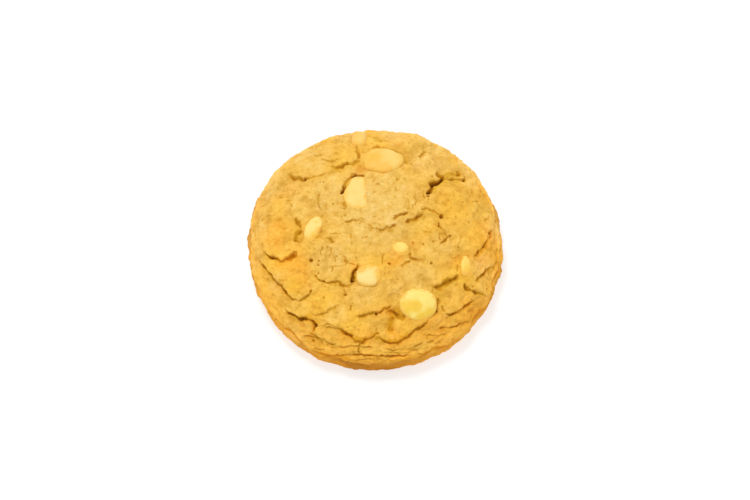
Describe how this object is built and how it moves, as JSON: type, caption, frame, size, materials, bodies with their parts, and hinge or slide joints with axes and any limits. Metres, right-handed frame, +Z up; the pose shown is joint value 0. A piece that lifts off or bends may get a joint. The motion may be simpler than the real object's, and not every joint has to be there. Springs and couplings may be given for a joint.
{
  "type": "peanut butter cookie",
  "caption": "Thick round baked cookie with a domed, cracked golden top, a flat base and pale chips set into its top.",
  "frame": {"origin": "middle of the flat base", "axes": "+Z up through the dome, +Y away from the picture's camera, +X to its right"},
  "size_m": [0.0781, 0.0783, 0.0183],
  "materials": {
    "dough": "matte, crumbly baked dough",
    "chip": "soft satin"
  },
  "bodies": {
    "root": {"cookie": "dough", "chip_far_edge": "chip", "chip_far_chunk": "chip", "chip_upper_wedge": "chip", "chip_left": "chip", "chip_small": "chip", "chip_centre": "chip", "chip_round": "chip", "chip_right": "chip"}
  },
  "joints": []
}
